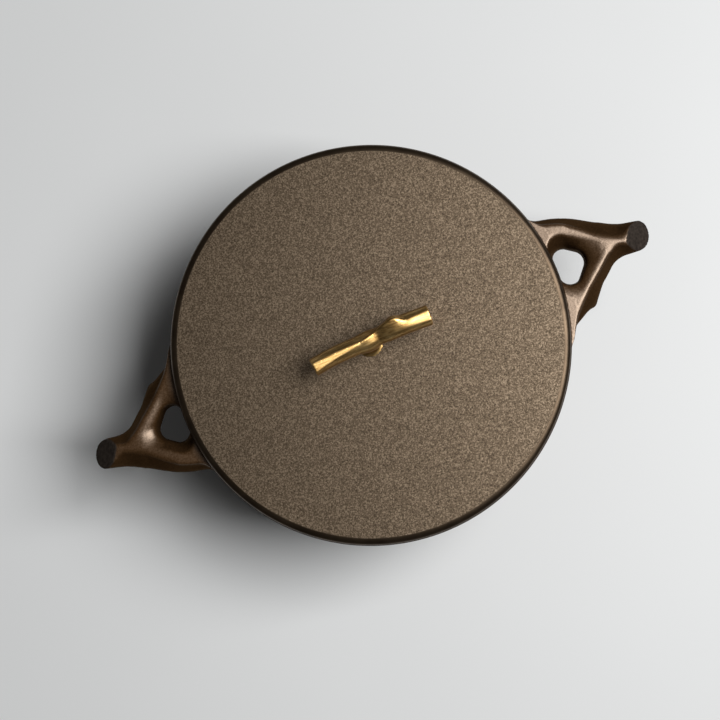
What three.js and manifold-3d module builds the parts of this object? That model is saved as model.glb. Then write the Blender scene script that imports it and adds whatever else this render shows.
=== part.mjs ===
// Dutch oven: a cast-iron pot with two branch-shaped handles and a flat iron lid lifted by a brass twig.
// Millimetres, +Z up. The origin is the middle of the pot's flat base, and +X runs along the side handles.

import * as THREE from "three";
import { mergeVertices } from "three/addons/utils/BufferGeometryUtils.js";
import Module from "manifold-3d";

// Pot casting
const RIM_RADIUS = 115;
const POT_HEIGHT = 100;
const WALL = 4.6;
const BASE_THICKNESS = 5.5;
const WALL_LEAN_DEG = 4;
const OUTER_CORNER = 24;
const INNER_CORNER = 20;
const RIM_CHAMFER = 0.8;

// Lid casting
const LID_INSET = 0.7;
const LID_THICKNESS = 6;
const LID_EDGE_ROUND = 2.9;
const LID_UNDER_CHAMFER = 0.9;
const LIP_DEPTH = 6;
const LIP_WIDTH = 4;
const LIP_PLAY = 1;
const LIP_CHAMFER = 0.8;

// Side handle: a branch that forks from two roots on the pot wall into one stub with a flat cut end.
// Reach is outward from the rim, along is sideways round the pot, rise is from the rim's top.
// The ridge on top of a limb stands ridgeLift above its middle and ridgeShift to its side.
const MAIN_BRANCH = [
  { reach: -6, along: 21.8, rise: -12, radius: 9.5, ridgeShift: 2, ridgeLift: 8.5, ridgeRadius: 2.5 },
  { reach: 11.1, along: 17.8, rise: -12.9, radius: 9, ridgeShift: 2.5, ridgeLift: 10.7, ridgeRadius: 2.2 },
  { reach: 29, along: 6.6, rise: -14.4, radius: 10.4, ridgeShift: -2, ridgeLift: 11.3, ridgeRadius: 2.2 },
  { reach: 40.4, along: 2, rise: -14.9, radius: 9.4, ridgeShift: -0.8, ridgeLift: 10.6, ridgeRadius: 1.8 },
  { reach: 51.8, along: -0.4, rise: -10.5, radius: 8.5, ridgeShift: 0, ridgeLift: 4.6, ridgeRadius: 3.9 },
];
const SIDE_BRANCH = [
  { reach: -6, along: -26.5, rise: -12.5, radius: 9.5, ridgeShift: -3, ridgeLift: 8, ridgeRadius: 2.5 },
  { reach: 7.5, along: -20.3, rise: -12.5, radius: 8.2, ridgeShift: 0.8, ridgeLift: 10, ridgeRadius: 1.9 },
  { reach: 19.2, along: -12.2, rise: -13.6, radius: 6.5, ridgeShift: 1.1, ridgeLift: 11, ridgeRadius: 1.8 },
  { reach: 30.5, along: -1.5, rise: -14.2, radius: 7.5, ridgeShift: 0, ridgeLift: 11, ridgeRadius: 2.2 },
];
const KNOT = [
  { reach: 6, along: -21.5, rise: -14, radius: 7.4 },
  { reach: 12.5, along: -25.6, rise: -16.1, radius: 2.4 },
];

// Where a limb meets the pot, its ridge spreads into a flat ledge below the rim, like a fan of small roots.
// Further out, the surface that tops the handle bends down.
const MAIN_FAN = { from: 9, to: 27 };
const SIDE_FAN = { from: -14, to: -38.5 };
const FAN_ROOTS = 6;
const FAN_RADIUS = 2.8;
const FAN_BITE = 2;
const FAN_PROUD = 0.4;
const LEDGE_BELOW_RIM = 1.6;
const LEDGE_WIDTH = 8;
const LEDGE_BEND = 280;

// The web between the limbs has a pocket that narrows from its mouth, at the top, to its neck.
// Both are rounded triangles.
const POCKET_MOUTH = [
  { reach: 6.6, along: 10.4 },
  { reach: 21.2, along: 1.6 },
  { reach: 5.2, along: -12.6 },
];
const POCKET_NECK = [
  { reach: 6.3, along: 4.4 },
  { reach: 12.3, along: 0.2 },
  { reach: 6.2, along: -6.4 },
];
const MOUTH_ROUND = 7.4;
const NECK_ROUND = 5.6;
const POCKET_DEPTH = 11;
const POCKET_FLARE = 3;
const WEB_LAND = 1;
const WEB_DEPTH = 17;

// The sawn end of the branch faces outward, turned a little along the rim and tilted up.
const CUT_TURN_DEG = -25;
const CUT_TILT_DEG = 50;

// Fillets and rounded edges of the handle
const LEDGE_EDGE_ROUND = 1.5;
const POCKET_EDGE_ROUND = 1;
const FORK_BLEND = 6;
const WEB_BLEND = 2;
const FAN_BLEND = 3;
const KNOT_BLEND = 5;
const ROOT_BLEND = 6.5;
const ROOT_SINK = 0.3;

// Lid handle: a brass twig on a short stem. Across runs from the lid's centre along the twig, aside is
// sideways, and rise is from the lid's top face.
const TWIG = [
  { across: -33.8, aside: -2, rise: 21.2, radius: 5.2, ridgeShift: -0.4, ridgeLift: 1, ridgeRadius: 4.3 },
  { across: -20, aside: -0.3, rise: 21.6, radius: 5.2, ridgeShift: -0.3, ridgeLift: 2.4, ridgeRadius: 3.2 },
  { across: -3, aside: 0.3, rise: 21.2, radius: 5.1, ridgeShift: 0.6, ridgeLift: 4.6, ridgeRadius: 1.5 },
  { across: 12, aside: 1, rise: 20.8, radius: 5.8, ridgeShift: 3.6, ridgeLift: 6.4, ridgeRadius: 1.3 },
  { across: 17, aside: 1.3, rise: 21, radius: 6, ridgeShift: 4.2, ridgeLift: 5.6, ridgeRadius: 1.8 },
  { across: 23, aside: 1.2, rise: 21.8, radius: 5.8, ridgeShift: 0.8, ridgeLift: 2.6, ridgeRadius: 3.2 },
  { across: 37.3, aside: 0.7, rise: 22.2, radius: 5.9, ridgeShift: 0.3, ridgeLift: 2, ridgeRadius: 3.8 },
];
const BUD = { across: 16.5, aside: 4.4, rise: 22.6, radius: 3.4 };
const BUD_BLEND = 3;
const STEM_RADIUS = 5;
const STEM_TOP = 17.5;
const FOOT_RADIUS = 7.4;
const FOOT_HEIGHT = 6;
const STEM_BLEND = 5;

// Screw and washers that hold the twig from under the lid
const SCREW_RADIUS = 2.9;
const SCREW_LENGTH = 22;
const SCREW_TIP_CHAMFER = 0.6;
const HEAD_RADIUS = 5.2;
const HEAD_HEIGHT = 3.2;
const SOCKET_WIDTH = 4;
const SOCKET_DEPTH = 2;
const FLAT_WASHER_RADIUS = 7.5;
const FLAT_WASHER_THICKNESS = 1.4;
const LOCK_WASHER_RADIUS = 5.4;
const LOCK_WASHER_THICKNESS = 1.5;
const LOCK_WASHER_SPLIT_DEG = 14;
const CLEARANCE = 0.3;
const TAPPED_SPARE_DEPTH = 2;

// Facets
const ROUND_SEGMENTS = 64;
const SMALL_SEGMENTS = 24;
const ARC_STEPS = 3;
const HANDLE_STEP = 3.2;
const TWIG_STEP = 2.1;
const LIMB_STEPS = 8;
const WELD = 1e-4;
const SLOPE_PROBE = 0.01;
const CELL_ROOM = 0.9;
const CUT_SIZE = 60;

const wasm = await Module();
wasm.setup();

// Turns a closed geometry into a solid that can be joined and cut.
function toSolid(geometry) {
  const bare = geometry.clone();
  bare.deleteAttribute("normal");
  bare.deleteAttribute("uv");
  const merged = mergeVertices(bare, WELD);
  const corners = merged.index.array;
  const triVerts = [];
  for (let i = 0; i < corners.length; i += 3) {
    const [a, b, c] = corners.slice(i, i + 3);
    if (a !== b && b !== c && c !== a) triVerts.push(a, b, c);
  }
  const mesh = new wasm.Mesh({
    numProp: 3,
    vertProperties: new Float32Array(merged.attributes.position.array),
    triVerts: new Uint32Array(triVerts),
  });
  return new wasm.Manifold(mesh);
}

function toGeometry(solid) {
  const mesh = solid.getMesh();
  const geometry = new THREE.BufferGeometry();
  geometry.setAttribute("position", new THREE.BufferAttribute(mesh.vertProperties, 3));
  geometry.setIndex(new THREE.BufferAttribute(mesh.triVerts, 1));
  geometry.computeVertexNormals();
  return geometry;
}

// Turns a profile drawn as (radius, height) round the Z axis.
function revolve(profile, segments) {
  const geometry = new THREE.LatheGeometry(profile.getPoints(ARC_STEPS), segments);
  return geometry.rotateX(Math.PI / 2);
}

// Cuts away everything beyond the plane through point, on the side that direction points to.
function cutBeyond(solid, point, direction) {
  const block = new THREE.BoxGeometry(CUT_SIZE, CUT_SIZE, CUT_SIZE);
  block.translate(0, 0, CUT_SIZE / 2);
  const turn = new THREE.Quaternion().setFromUnitVectors(new THREE.Vector3(0, 0, 1), direction);
  block.applyQuaternion(turn);
  block.translate(...point.toArray());
  return solid.subtract(toSolid(block));
}

// Distance to a tapered limb that joins two balls.
function taperedLimb(p, a, b) {
  const axis = b.place.clone().sub(a.place);
  const length = axis.length();
  const toA = p.distanceTo(a.place);
  const toB = p.distanceTo(b.place);
  if (length <= Math.abs(a.radius - b.radius)) return Math.min(toA - a.radius, toB - b.radius);
  const along = p.clone().sub(a.place).dot(axis) / length;
  const aside = Math.sqrt(Math.max(toA * toA - along * along, 0));
  const taper = (a.radius - b.radius) / length;
  const level = Math.sqrt(1 - taper * taper);
  const past = along * level - aside * taper;
  if (past < 0) return toA - a.radius;
  if (past > level * length) return toB - b.radius;
  return aside * level + along * taper - a.radius;
}

// Balls along a smooth curve through the knots of a limb, with their size changing evenly between knots.
function ballsThrough(knots) {
  const curve = new THREE.CatmullRomCurve3(knots.map((knot) => knot.place));
  const steps = (knots.length - 1) * LIMB_STEPS;
  return Array.from({ length: steps + 1 }, (_, i) => {
    const first = Math.min(Math.floor(i / LIMB_STEPS), knots.length - 2);
    const [from, to] = [knots[first].radius, knots[first + 1].radius];
    const radius = THREE.MathUtils.lerp(from, to, i / LIMB_STEPS - first);
    return { place: curve.getPoint(i / steps), radius };
  });
}

// Distance to the nearest of the limbs that join pairs of balls.
function limbs(pairs) {
  return (p) => {
    let least = Infinity;
    for (const [a, b] of pairs) least = Math.min(least, taperedLimb(p, a, b));
    return least;
  };
}

function chain(balls) {
  return balls.slice(1).map((ball, i) => [balls[i], ball]);
}

// The ball of the ridge that goes with a ball in the middle of a limb.
function ridgeBall(middle, { ridgeShift, ridgeLift, ridgeRadius }) {
  const place = middle.place.clone().add(new THREE.Vector3(0, ridgeShift, ridgeLift));
  return { place, radius: ridgeRadius };
}

// A limb with a ridge on it: a chain along its middle, a thinner one along the ridge, and rungs between.
function ridgedLimb(middleKnots, ridgeKnots) {
  const middle = ballsThrough(middleKnots);
  const ridge = ballsThrough(ridgeKnots);
  return [...chain(middle), ...chain(ridge), ...middle.map((ball, i) => [ball, ridge[i]])];
}

// The nearer of two distances, with a fillet of about the blend's size between the two forms.
function blended(a, b, blend) {
  const share = Math.max(blend - Math.abs(a - b), 0) / blend;
  return Math.min(a, b) - (share * share * blend) / 4;
}

// The farther of two distances, which keeps what both forms share, with the edge between them rounded.
function shared(a, b, blend) {
  return -blended(-a, -b, blend);
}

// Distance in plan to a triangle, whose corners run clockwise.
function triangle(place, corners) {
  let least = Infinity;
  let inside = true;
  corners.forEach((corner, i) => {
    const edge = corners[(i + 1) % corners.length].clone().sub(corner);
    const offset = place.clone().sub(corner);
    if (edge.cross(offset) > 0) inside = false;
    const share = THREE.MathUtils.clamp(offset.dot(edge) / edge.lengthSq(), 0, 1);
    least = Math.min(least, offset.addScaledVector(edge, -share).length());
  });
  return inside ? -least : least;
}

// Moves a point onto the surface where the field is zero.
function settle(field, point) {
  for (let pass = 0; pass < 2; pass += 1) {
    const value = field(point);
    const slope = new THREE.Vector3();
    for (let axis = 0; axis < 3; axis += 1) {
      const ahead = point.clone();
      ahead.setComponent(axis, point.getComponent(axis) + SLOPE_PROBE);
      slope.setComponent(axis, (field(ahead) - value) / SLOPE_PROBE);
    }
    point.addScaledVector(slope, -value / slope.lengthSq());
  }
  return point;
}

// The closed surface where a field is zero, with one point in each grid cell that the surface crosses.
function skin(field, box, step) {
  const counts = box.getSize(new THREE.Vector3()).divideScalar(step).ceil().addScalar(1).toArray();
  const strides = [1, counts[0], counts[0] * counts[1]];
  const place = (i, j, k) => new THREE.Vector3(i, j, k).multiplyScalar(step).add(box.min);
  const values = new Float64Array(counts[0] * counts[1] * counts[2]);
  const eachNode = (ends, visit) => {
    for (let k = 0; k < counts[2] - ends; k += 1) {
      for (let j = 0; j < counts[1] - ends; j += 1) {
        for (let i = 0; i < counts[0] - ends; i += 1) {
          visit(i + j * strides[1] + k * strides[2], [i, j, k]);
        }
      }
    }
  };
  eachNode(0, (node, cell) => {
    values[node] = field(place(...cell));
  });

  // Where the corners of a grid square are in and out by turns the surface would pinch: one is filled in.
  let pinched = true;
  const unpinch = (square) => {
    const [a, b, c, d] = square.map((node) => values[node] < 0);
    if (a !== c || b !== d || a === b) return;
    const outside = square.filter((node) => values[node] >= 0);
    values[values[outside[0]] < values[outside[1]] ? outside[0] : outside[1]] = -SLOPE_PROBE;
    pinched = true;
  };
  while (pinched) {
    pinched = false;
    eachNode(1, (node) => {
      for (let axis = 0; axis < 3; axis += 1) {
        const [side, other] = [strides[axis], strides[(axis + 1) % 3]];
        unpinch([node, node + side, node + side + other, node + other]);
      }
    });
  }

  const points = [];
  const pointOfCell = new Map();
  eachNode(1, (node, cell) => {
    const sum = new THREE.Vector3();
    let crossings = 0;
    for (let axis = 0; axis < 3; axis += 1) {
      const [side, other] = [(axis + 1) % 3, (axis + 2) % 3];
      for (let corner = 0; corner < 4; corner += 1) {
        const start = [...cell];
        start[side] += corner & 1;
        start[other] += corner >> 1;
        const from = node + (corner & 1) * strides[side] + (corner >> 1) * strides[other];
        const to = from + strides[axis];
        if (values[from] < 0 === values[to] < 0) continue;
        start[axis] += values[from] / (values[from] - values[to]);
        sum.add(place(...start));
        crossings += 1;
      }
    }
    if (crossings === 0) return;
    const middle = place(...cell).addScalar(step / 2);
    const size = new THREE.Vector3().setScalar(CELL_ROOM * step);
    const room = new THREE.Box3().setFromCenterAndSize(middle, size);
    pointOfCell.set(node, points.length);
    points.push(room.clampPoint(settle(field, sum.divideScalar(crossings)), new THREE.Vector3()));
  });

  const triangles = [];
  eachNode(1, (node, cell) => {
    for (let axis = 0; axis < 3; axis += 1) {
      const [side, other] = [(axis + 1) % 3, (axis + 2) % 3];
      const inside = values[node] < 0;
      if (cell[side] === 0 || cell[other] === 0 || inside === values[node + strides[axis]] < 0) continue;
      const steps = [0, strides[side], strides[side] + strides[other], strides[other]];
      const quad = steps.map((back) => pointOfCell.get(node - back));
      if (!inside) quad.reverse();
      const [a, b, c, d] = quad;
      const shortAcross = points[a].distanceTo(points[c]) < points[b].distanceTo(points[d]);
      triangles.push(...(shortAcross ? [a, b, c, a, c, d] : [a, b, d, b, c, d]));
    }
  });
  const geometry = new THREE.BufferGeometry().setFromPoints(points);
  return geometry.setIndex(triangles);
}

const lean = THREE.MathUtils.degToRad(WALL_LEAN_DEG);
const rimEdge = POT_HEIGHT - RIM_CHAMFER;
const wallOffset = RIM_RADIUS * Math.cos(lean) - rimEdge * Math.sin(lean);

// Radius of the leaning wall line at a height, inset from the pot's outside.
function wallRadius(height, inset) {
  return (wallOffset - inset + height * Math.sin(lean)) / Math.cos(lean);
}

const mouthRadius = wallRadius(rimEdge, WALL);

function potOutside() {
  const corner = wallRadius(OUTER_CORNER, OUTER_CORNER);
  const profile = new THREE.Path();
  profile.moveTo(0, 0);
  profile.lineTo(corner, 0);
  profile.absarc(corner, OUTER_CORNER, OUTER_CORNER, -Math.PI / 2, -lean);
  profile.lineTo(RIM_RADIUS, rimEdge);
  profile.lineTo(RIM_RADIUS - RIM_CHAMFER, POT_HEIGHT);
  profile.lineTo(0, POT_HEIGHT);
  return toSolid(revolve(profile, ROUND_SEGMENTS));
}

function potCavity() {
  const cornerHeight = BASE_THICKNESS + INNER_CORNER;
  const corner = wallRadius(cornerHeight, WALL + INNER_CORNER);
  const profile = new THREE.Path();
  profile.moveTo(0, BASE_THICKNESS);
  profile.lineTo(corner, BASE_THICKNESS);
  profile.absarc(corner, cornerHeight, INNER_CORNER, -Math.PI / 2, -lean);
  profile.lineTo(mouthRadius, rimEdge);
  profile.lineTo(mouthRadius + RIM_CHAMFER, POT_HEIGHT);
  profile.lineTo(mouthRadius + RIM_CHAMFER, POT_HEIGHT + RIM_CHAMFER);
  profile.lineTo(0, POT_HEIGHT + RIM_CHAMFER);
  return toSolid(revolve(profile, ROUND_SEGMENTS));
}

function handleBall({ reach, along, rise, radius }) {
  return { place: new THREE.Vector3(RIM_RADIUS + reach, along, POT_HEIGHT + rise), radius };
}

// Small roots from a ball of the ridge to the wall just below the rim, side by side.
function rootFan(start, { from, to }) {
  const wallInside = RIM_RADIUS - FAN_BITE;
  const height = POT_HEIGHT - LEDGE_BELOW_RIM - FAN_RADIUS + FAN_PROUD;
  return Array.from({ length: FAN_ROOTS }, (_, i) => {
    const along = THREE.MathUtils.lerp(from, to, i / (FAN_ROOTS - 1));
    const out = Math.sqrt(wallInside ** 2 - along ** 2);
    return [start, { place: new THREE.Vector3(out, along, height), radius: FAN_RADIUS }];
  });
}

// One side handle with its roots, running into the pot wall.
function sideHandle() {
  const ridgeOf = (knot) => ridgeBall(handleBall(knot), knot);
  const mainRidge = MAIN_BRANCH.map(ridgeOf);
  const sideRidge = SIDE_BRANCH.map(ridgeOf);
  const end = handleBall(MAIN_BRANCH.at(-1));
  const [cutTurn, cutTilt] = [CUT_TURN_DEG, CUT_TILT_DEG].map(THREE.MathUtils.degToRad);
  const cutDirection = new THREE.Vector3(Math.cos(cutTilt), 0, Math.sin(cutTilt));
  cutDirection.applyAxisAngle(new THREE.Vector3(0, 0, 1), cutTurn);
  const pastCut = { ...end, place: end.place.clone().addScaledVector(cutDirection, end.radius) };
  const main = [...ridgedLimb(MAIN_BRANCH.map(handleBall), mainRidge), [end, pastCut]];
  const side = ridgedLimb(SIDE_BRANCH.map(handleBall), sideRidge);
  const knot = chain(KNOT.map(handleBall));
  const fans = [...rootFan(mainRidge[1], MAIN_FAN), ...rootFan(sideRidge[1], SIDE_FAN)];

  const [mainField, sideField, knotField, fanField] = [main, side, knot, fans].map(limbs);
  const [mouth, neck] = [POCKET_MOUTH, POCKET_NECK].map((corners) =>
    corners.map(({ reach, along }) => new THREE.Vector2(RIM_RADIUS + reach, along)),
  );
  const ledgeHeight = POT_HEIGHT - LEDGE_BELOW_RIM;
  const field = (p) => {
    const plan = new THREE.Vector2(p.x, p.y);
    const out = plan.length();
    const beyond = Math.max(out - RIM_RADIUS - LEDGE_WIDTH, 0);
    const ledge = p.z - ledgeHeight + beyond ** 2 / (2 * LEDGE_BEND);
    const web = Math.max(triangle(plan, mouth) - MOUTH_ROUND - WEB_LAND, -WEB_DEPTH - ledge);
    let form = blended(mainField(p), sideField(p), FORK_BLEND);
    form = blended(form, knotField(p), KNOT_BLEND);
    form = blended(form, fanField(p), FAN_BLEND);
    form = shared(blended(form, web, WEB_BLEND), ledge, LEDGE_EDGE_ROUND);
    const wall = Math.max((out - wallRadius(p.z, 0)) * Math.cos(lean), p.z - ledgeHeight);
    form = Math.max(blended(form, wall + ROOT_SINK, ROOT_BLEND), form - ROOT_BLEND);
    const opened = THREE.MathUtils.clamp(1 + ledge / POCKET_DEPTH, 0, 1) ** POCKET_FLARE;
    const corners = neck.map((corner, i) => corner.clone().lerp(mouth[i], opened));
    const pocket = triangle(plan, corners) - THREE.MathUtils.lerp(NECK_ROUND, MOUTH_ROUND, opened);
    return Math.max(shared(form, -pocket / POCKET_FLARE, POCKET_EDGE_ROUND), ledge);
  };

  const box = new THREE.Box3();
  for (const ball of [...main, ...side, ...knot, ...fans].flat()) {
    const size = new THREE.Vector3().setScalar(2 * ball.radius);
    box.union(new THREE.Box3().setFromCenterAndSize(ball.place, size));
  }
  box.expandByScalar(ROOT_BLEND + HANDLE_STEP);
  return cutBeyond(toSolid(skin(field, box, HANDLE_STEP)), end.place, cutDirection);
}

// The pot and its two handles are one casting, the second handle being the first turned half way round.
function potBody() {
  const handle = sideHandle();
  const casting = potOutside().add(handle).add(handle.rotate([0, 0, 180]));
  return toGeometry(casting.subtract(potCavity()));
}

// The lid and what is fixed to it are drawn with the lid's seat on the rim at height 0.
const lidRadius = RIM_RADIUS - LID_INSET;
const lidHole = SCREW_RADIUS + CLEARANCE;

function lid() {
  const lipOuter = mouthRadius - LIP_PLAY;
  const lipInner = lipOuter - LIP_WIDTH;
  const profile = new THREE.Path();
  profile.moveTo(lidHole, 0);
  profile.lineTo(lipInner, 0);
  profile.lineTo(lipInner, LIP_CHAMFER - LIP_DEPTH);
  profile.lineTo(lipInner + LIP_CHAMFER, -LIP_DEPTH);
  profile.lineTo(lipOuter - LIP_CHAMFER, -LIP_DEPTH);
  profile.lineTo(lipOuter, LIP_CHAMFER - LIP_DEPTH);
  profile.lineTo(lipOuter, 0);
  profile.lineTo(lidRadius - LID_UNDER_CHAMFER, 0);
  profile.lineTo(lidRadius, LID_UNDER_CHAMFER);
  profile.absarc(
    lidRadius - LID_EDGE_ROUND, LID_THICKNESS - LID_EDGE_ROUND, LID_EDGE_ROUND, 0, Math.PI / 2,
  );
  profile.lineTo(lidHole, LID_THICKNESS);
  profile.lineTo(lidHole, 0);
  return toGeometry(toSolid(revolve(profile, ROUND_SEGMENTS)));
}

const washerStack = FLAT_WASHER_THICKNESS + LOCK_WASHER_THICKNESS;

// A brass twig with a bud at its knuckle, on a stem whose flared foot stands on the lid.
function lidHandle() {
  const ball = ({ across, aside, rise, radius }) => ({
    place: new THREE.Vector3(across, aside, LID_THICKNESS + rise),
    radius,
  });
  const beyond = (end, before) => {
    const direction = end.place.clone().sub(before.place).normalize();
    return { ...end, place: end.place.clone().addScaledVector(direction, 2 * end.radius), direction };
  };
  const knots = TWIG.map(ball);
  const ridge = TWIG.map((knot, i) => ridgeBall(knots[i], knot));
  const first = beyond(knots[0], knots[1]);
  const last = beyond(knots.at(-1), knots.at(-2));
  const bar = limbs([
    ...ridgedLimb(knots, ridge),
    ...ridgedLimb([first, knots[0]], [beyond(ridge[0], ridge[1]), ridge[0]]),
    ...ridgedLimb([knots.at(-1), last], [ridge.at(-1), beyond(ridge.at(-1), ridge.at(-2))]),
  ]);
  const bud = ball(BUD);
  const foot = ball({ across: 0, aside: 0, rise: 0, radius: FOOT_RADIUS });
  const stemBottom = ball({ across: 0, aside: 0, rise: FOOT_HEIGHT, radius: STEM_RADIUS });
  const stemTop = ball({ across: 0, aside: 0, rise: STEM_TOP, radius: STEM_RADIUS });
  const stem = limbs(chain([foot, stemBottom, stemTop]));
  const field = (p) => {
    const twig = blended(bar(p), p.distanceTo(bud.place) - bud.radius, BUD_BLEND);
    return blended(twig, stem(p), STEM_BLEND);
  };
  const box = new THREE.Box3().setFromPoints([first, last, bud, foot].map((end) => end.place));
  box.expandByScalar(FOOT_RADIUS + STEM_BLEND + TWIG_STEP);
  let twig = toSolid(skin(field, box, TWIG_STEP));
  twig = cutBeyond(twig, knots[0].place, first.direction);
  twig = cutBeyond(twig, knots.at(-1).place, last.direction);
  twig = cutBeyond(twig, foot.place, new THREE.Vector3(0, 0, -1));
  const tapped = SCREW_LENGTH - washerStack + TAPPED_SPARE_DEPTH;
  const bore = new THREE.CylinderGeometry(lidHole, lidHole, 2 * tapped, SMALL_SEGMENTS);
  bore.rotateX(Math.PI / 2);
  return toGeometry(twig.subtract(toSolid(bore)));
}

// A domed screw with a hexagon socket, pushed up through the washers and the lid into the twig's stem.
function handleScrew() {
  const seat = -washerStack;
  const tip = seat + SCREW_LENGTH;
  const profile = new THREE.Path();
  profile.moveTo(0, seat - HEAD_HEIGHT);
  profile.quadraticCurveTo(HEAD_RADIUS, seat - HEAD_HEIGHT, HEAD_RADIUS, seat);
  profile.lineTo(SCREW_RADIUS, seat);
  profile.lineTo(SCREW_RADIUS, tip - SCREW_TIP_CHAMFER);
  profile.lineTo(SCREW_RADIUS - SCREW_TIP_CHAMFER, tip);
  profile.lineTo(0, tip);
  const socketRadius = SOCKET_WIDTH / Math.sqrt(3);
  const socket = new THREE.CylinderGeometry(socketRadius, socketRadius, 2 * SOCKET_DEPTH, 6);
  socket.rotateX(Math.PI / 2);
  socket.translate(0, 0, seat - HEAD_HEIGHT);
  return toGeometry(toSolid(revolve(profile, SMALL_SEGMENTS)).subtract(toSolid(socket)));
}

function flatWasher() {
  const profile = new THREE.Path();
  profile.moveTo(lidHole, -FLAT_WASHER_THICKNESS);
  profile.lineTo(FLAT_WASHER_RADIUS, -FLAT_WASHER_THICKNESS);
  profile.lineTo(FLAT_WASHER_RADIUS, 0);
  profile.lineTo(lidHole, 0);
  profile.lineTo(lidHole, -FLAT_WASHER_THICKNESS);
  return toGeometry(toSolid(revolve(profile, SMALL_SEGMENTS)));
}

// A split spring washer, shown as it is when the screw has pressed it flat.
function lockWasher() {
  const halfSplit = THREE.MathUtils.degToRad(LOCK_WASHER_SPLIT_DEG / 2);
  const ring = new THREE.Shape();
  ring.absarc(0, 0, LOCK_WASHER_RADIUS, halfSplit, 2 * Math.PI - halfSplit, false);
  ring.absarc(0, 0, lidHole, 2 * Math.PI - halfSplit, halfSplit, true);
  const geometry = new THREE.ExtrudeGeometry(ring, {
    depth: LOCK_WASHER_THICKNESS,
    bevelEnabled: false,
    curveSegments: SMALL_SEGMENTS / 2,
  });
  geometry.translate(0, 0, -washerStack);
  return toGeometry(toSolid(geometry));
}

const castIron = new THREE.MeshStandardMaterial({ color: 0x6e5f4f, roughness: 0.55, metalness: 0.8 });
const lidIron = new THREE.MeshStandardMaterial({ color: 0x766857, roughness: 0.7, metalness: 0.7 });
const brass = new THREE.MeshStandardMaterial({ color: 0xb48a43, roughness: 0.3, metalness: 1 });
const steel = new THREE.MeshStandardMaterial({ color: 0xb4b4b2, roughness: 0.35, metalness: 1 });

function piece(name, geometry, material) {
  const mesh = new THREE.Mesh(geometry, material);
  mesh.name = name;
  return mesh;
}

const lidAssembly = new THREE.Group();
lidAssembly.position.z = POT_HEIGHT;
lidAssembly.add(
  piece("lid", lid(), lidIron),
  piece("lid_handle", lidHandle(), brass),
  piece("lid_handle_screw", handleScrew(), steel),
  piece("flat_washer", flatWasher(), steel),
  piece("lock_washer", lockWasher(), steel),
);

const dutchOven = new THREE.Group();
dutchOven.add(piece("pot_body", potBody(), castIron), lidAssembly);

export default dutchOven;
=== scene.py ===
"""Dutch oven: an iron pot with branch handles, a sandy iron lid and a brass twig, seen from above."""

import math

import bpy
import numpy as np
from mathutils import Matrix, Vector


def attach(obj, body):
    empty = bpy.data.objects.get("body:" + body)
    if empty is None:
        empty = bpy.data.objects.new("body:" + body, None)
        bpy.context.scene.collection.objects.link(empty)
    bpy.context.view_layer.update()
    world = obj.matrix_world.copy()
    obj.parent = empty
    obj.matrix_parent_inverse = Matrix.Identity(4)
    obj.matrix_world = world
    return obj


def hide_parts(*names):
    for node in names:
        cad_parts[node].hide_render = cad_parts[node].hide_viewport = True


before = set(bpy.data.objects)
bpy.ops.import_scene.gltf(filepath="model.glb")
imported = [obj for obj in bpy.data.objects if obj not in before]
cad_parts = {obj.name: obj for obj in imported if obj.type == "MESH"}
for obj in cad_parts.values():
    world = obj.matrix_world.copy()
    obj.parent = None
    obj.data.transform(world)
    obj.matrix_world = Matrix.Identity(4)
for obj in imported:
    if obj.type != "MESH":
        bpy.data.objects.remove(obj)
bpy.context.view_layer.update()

# Lengths are in millimetres, as the solids are drawn, and meshes are made in metres.
MM = 0.001
UP = np.array([0.0, 0.0, 1.0])

# Pot casting
RIM_RADIUS = 115.0
POT_HEIGHT = 100.0
WALL = 4.6
BASE_THICKNESS = 5.5
WALL_LEAN = math.radians(4)
OUTER_CORNER = 24.0
INNER_CORNER = 20.0
RIM_ROUND = 0.8

# Lid casting
LID_INSET = 0.7
LID_THICKNESS = 6.0
LID_EDGE_ROUND = 2.9
LID_SHOULDER = 4.2
LID_UNDER_ROUND = 0.9
LIP_DEPTH = 6.0
LIP_WIDTH = 4.0
LIP_PLAY = 1.0
LIP_ROUND = 0.8
LID_HOLE = 3.2

# Side handle knots: reach from the rim, along the rim, rise from the rim's top, radius,
# and the ridge's shift, lift and radius. The knot that sticks out of the side branch has no ridge.
MAIN_BRANCH = np.array([
    [-6.0, 21.8, -12.0, 9.5, 2.0, 8.5, 2.5],
    [11.1, 17.8, -13.5, 9.0, 1.4, 10.7, 2.2],
    [29.0, 6.6, -15.4, 10.4, -2.0, 11.3, 2.2],
    [40.4, 2.0, -15.5, 9.4, -1.7, 10.6, 1.8],
    [51.8, -0.4, -10.5, 8.5, -1.3, 4.6, 3.9],
])
SIDE_BRANCH = np.array([
    [-6.0, -26.5, -12.5, 9.5, -3.0, 8.0, 2.5],
    [7.5, -20.3, -12.9, 8.2, 0.8, 10.0, 1.9],
    [19.2, -12.2, -14.5, 6.5, 1.1, 11.0, 1.8],
    [30.5, -1.5, -15.2, 7.5, 0.0, 11.0, 2.2],
])
KNOT = np.array([
    [9.6, -18.2, -14.6, 7.7],
    [12.5, -25.6, -16.1, 2.4],
])

# Where a limb meets the pot, its ridge spreads like a fan of small roots, under a ledge that tops the whole
# handle. The ledge starts below the rim and slopes down outward.
MAIN_FAN = (9.0, 25.0)
SIDE_FAN = (-14.0, -38.5)
FAN_ROOTS = 8
FAN_RADIUS = 2.8
FAN_BITE = 2.0
FAN_PROUD = 0.4
LEDGE_BELOW_RIM = 1.6
LEDGE_SLOPE = math.radians(3.6)

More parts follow.
